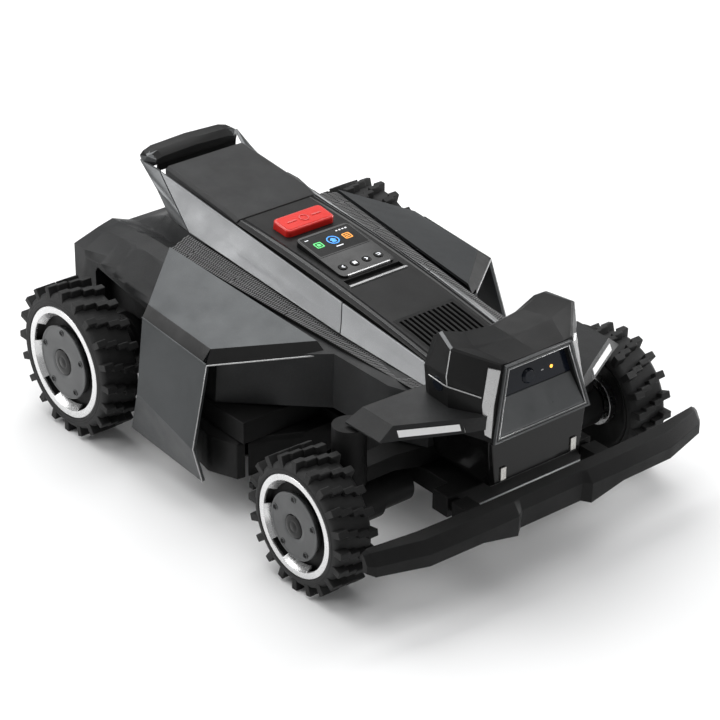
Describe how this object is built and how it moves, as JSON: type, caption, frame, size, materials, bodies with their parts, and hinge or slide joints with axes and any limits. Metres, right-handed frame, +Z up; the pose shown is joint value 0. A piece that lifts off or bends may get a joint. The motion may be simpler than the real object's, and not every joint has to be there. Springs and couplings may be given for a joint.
{
  "type": "robotic lawn mower",
  "caption": "Four-wheel-drive robotic lawn mower with a raised camera head, front bumper, control panel with a stop button, carry handle and twin cutting discs.",
  "frame": {"origin": "on the ground, under the middle of the bounding box", "axes": "+Z up, -Y towards the front bumper, +X to the mower's left"},
  "size_m": [0.508, 0.701, 0.299],
  "materials": {
    "pod_grey": "satin metallic",
    "rail_silver": "satin metallic",
    "graphite": "fine matt",
    "black_plastic": "matt textured",
    "gloss_black": "polished",
    "mesh_grey": "ribbed",
    "stop_red": "satin",
    "tyre_rubber": "moulded",
    "wheel_alloy": "satin",
    "steel": "brushed",
    "trim_silver": "satin",
    "light_white": "diffusing",
    "amber_light": "translucent",
    "lens_glass": "polished",
    "contact_nickel": "plated",
    "battery_blue": "wrapped",
    "board_green": "coated"
  },
  "bodies": {
    "chassis": {"chassis_tray": "black_plastic", "battery_pack": "battery_blue", "battery_cover": "black_plastic", "chassis_screws": "steel", "front_axle_beam": "black_plastic", "rear_gearmotors": "black_plastic", "deck_skirt": "black_plastic", "comb_guards": "black_plastic", "guide_posts": "steel", "mid_shell": "black_plastic", "main_board": "board_green", "side_rails": "rail_silver", "mesh_strips": "mesh_grey", "rear_cover": "graphite", "carry_handle": "graphite", "control_panel": "graphite", "vent_grille": "black_plastic", "screen_housing": "graphite", "display_glass": "gloss_black", "panel_trims": "trim_silver", "left_side_pod": "pod_grey", "right_side_pod": "pod_grey", "rear_hood": "black_plastic", "head_housing": "graphite", "head_bezel": "rail_silver", "head_window": "gloss_black", "camera_lenses": "lens_glass", "status_led": "amber_light", "lip_panel": "graphite", "nose_cone": "gloss_black", "charging_contacts": "contact_nickel", "left_fender": "pod_grey", "right_fender": "pod_grey", "light_strips": "light_white"},
    "bumper": {"bumper": "black_plastic"},
    "stop_button": {"stop_button": "stop_red"},
    "cutter_carriage": {"cutter_carriage": "black_plastic", "blade_motors": "steel"},
    "back_key": {"back_key": "black_plastic"},
    "start_key": {"start_key": "black_plastic"},
    "confirm_key": {"confirm_key": "black_plastic"},
    "home_key": {"home_key": "black_plastic"},
    "left_disc": {"left_disc": "steel"},
    "left_blade_1": {"left_blade_1": "steel"},
    "left_blade_2": {"left_blade_2": "steel"},
    "left_blade_3": {"left_blade_3": "steel"},
    "front_left_steering": {"front_left_knuckle": "black_plastic"},
    "rear_left_wheel": {"rear_left_wheel": "wheel_alloy", "rear_left_tyre": "tyre_rubber"},
    "front_left_wheel": {"front_left_wheel": "wheel_alloy", "front_left_tyre": "tyre_rubber"},
    "right_disc": {"right_disc": "steel"},
    "right_blade_1": {"right_blade_1": "steel"},
    "right_blade_2": {"right_blade_2": "steel"},
    "right_blade_3": {"right_blade_3": "steel"},
    "front_right_steering": {"front_right_knuckle": "black_plastic"},
    "rear_right_wheel": {"rear_right_wheel": "wheel_alloy", "rear_right_tyre": "tyre_rubber"},
    "front_right_wheel": {"front_right_wheel": "wheel_alloy", "front_right_tyre": "tyre_rubber"}
  },
  "joints": [
    {"name": "bumper_travel", "type": "slide", "parent": "chassis", "child": "bumper", "axis": [0, 1, 0], "range_m": [0, 0.005], "stiffness_N_per_m": 1500},
    {"name": "stop_press", "type": "slide", "parent": "chassis", "child": "stop_button", "axis": [0, 0.1345, -0.9909], "range_m": [0, 0.004], "stiffness_N_per_m": 1200},
    {"name": "back_press", "type": "slide", "parent": "chassis", "child": "back_key", "axis": [0, 0.1454, -0.9894], "range_m": [0, 0.001], "stiffness_N_per_m": 600},
    {"name": "start_press", "type": "slide", "parent": "chassis", "child": "start_key", "axis": [0, 0.1454, -0.9894], "range_m": [0, 0.001], "stiffness_N_per_m": 600},
    {"name": "confirm_press", "type": "slide", "parent": "chassis", "child": "confirm_key", "axis": [0, 0.1454, -0.9894], "range_m": [0, 0.001], "stiffness_N_per_m": 600},
    {"name": "home_press", "type": "slide", "parent": "chassis", "child": "home_key", "axis": [0, 0.1454, -0.9894], "range_m": [0, 0.001], "stiffness_N_per_m": 600},
    {"name": "cut_height", "type": "slide", "parent": "chassis", "child": "cutter_carriage", "axis": [0, 0, 1], "range_m": [-0.018, 0.022]},
    {"name": "left_disc_spin", "type": "hinge", "parent": "cutter_carriage", "child": "left_disc", "pos_m": [0.102, 0.06, 0.04], "axis": [0, 0, 1], "continuous": true},
    {"name": "left_blade_1_pivot", "type": "hinge", "parent": "left_disc", "child": "left_blade_1", "pos_m": [0.15569, 0.091, 0.038], "axis": [0, 0, 1], "continuous": true},
    {"name": "left_blade_2_pivot", "type": "hinge", "parent": "left_disc", "child": "left_blade_2", "pos_m": [0.04831, 0.091, 0.038], "axis": [0, 0, 1], "continuous": true},
    {"name": "left_blade_3_pivot", "type": "hinge", "parent": "left_disc", "child": "left_blade_3", "pos_m": [0.102, -0.002, 0.038], "axis": [0, 0, 1], "continuous": true},
    {"name": "front_left_steer", "type": "hinge", "parent": "chassis", "child": "front_left_steering", "pos_m": [0.174, -0.197, 0.0832], "axis": [0, 0, 1], "range_deg": [-30, 30]},
    {"name": "rear_left_spin", "type": "hinge", "parent": "chassis", "child": "rear_left_wheel", "pos_m": [0.226, 0.255, 0.0955], "axis": [1, 0, 0], "continuous": true},
    {"name": "front_left_spin", "type": "hinge", "parent": "front_left_steering", "child": "front_left_wheel", "pos_m": [0.226, -0.197, 0.0832], "axis": [1, 0, 0], "continuous": true},
    {"name": "right_disc_spin", "type": "hinge", "parent": "cutter_carriage", "child": "right_disc", "pos_m": [-0.102, 0.06, 0.04], "axis": [0, 0, 1], "continuous": true},
    {"name": "right_blade_1_pivot", "type": "hinge", "parent": "right_disc", "child": "right_blade_1", "pos_m": [-0.04831, 0.091, 0.038], "axis": [0, 0, 1], "continuous": true},
    {"name": "right_blade_2_pivot", "type": "hinge", "parent": "right_disc", "child": "right_blade_2", "pos_m": [-0.15569, 0.091, 0.038], "axis": [0, 0, 1], "continuous": true},
    {"name": "right_blade_3_pivot", "type": "hinge", "parent": "right_disc", "child": "right_blade_3", "pos_m": [-0.102, -0.002, 0.038], "axis": [0, 0, 1], "continuous": true},
    {"name": "front_right_steer", "type": "hinge", "parent": "chassis", "child": "front_right_steering", "pos_m": [-0.174, -0.197, 0.0832], "axis": [0, 0, 1], "range_deg": [-30, 30]},
    {"name": "rear_right_spin", "type": "hinge", "parent": "chassis", "child": "rear_right_wheel", "pos_m": [-0.226, 0.255, 0.0955], "axis": [1, 0, 0], "continuous": true},
    {"name": "front_right_spin", "type": "hinge", "parent": "front_right_steering", "child": "front_right_wheel", "pos_m": [-0.226, -0.197, 0.0832], "axis": [1, 0, 0], "continuous": true}
  ]
}
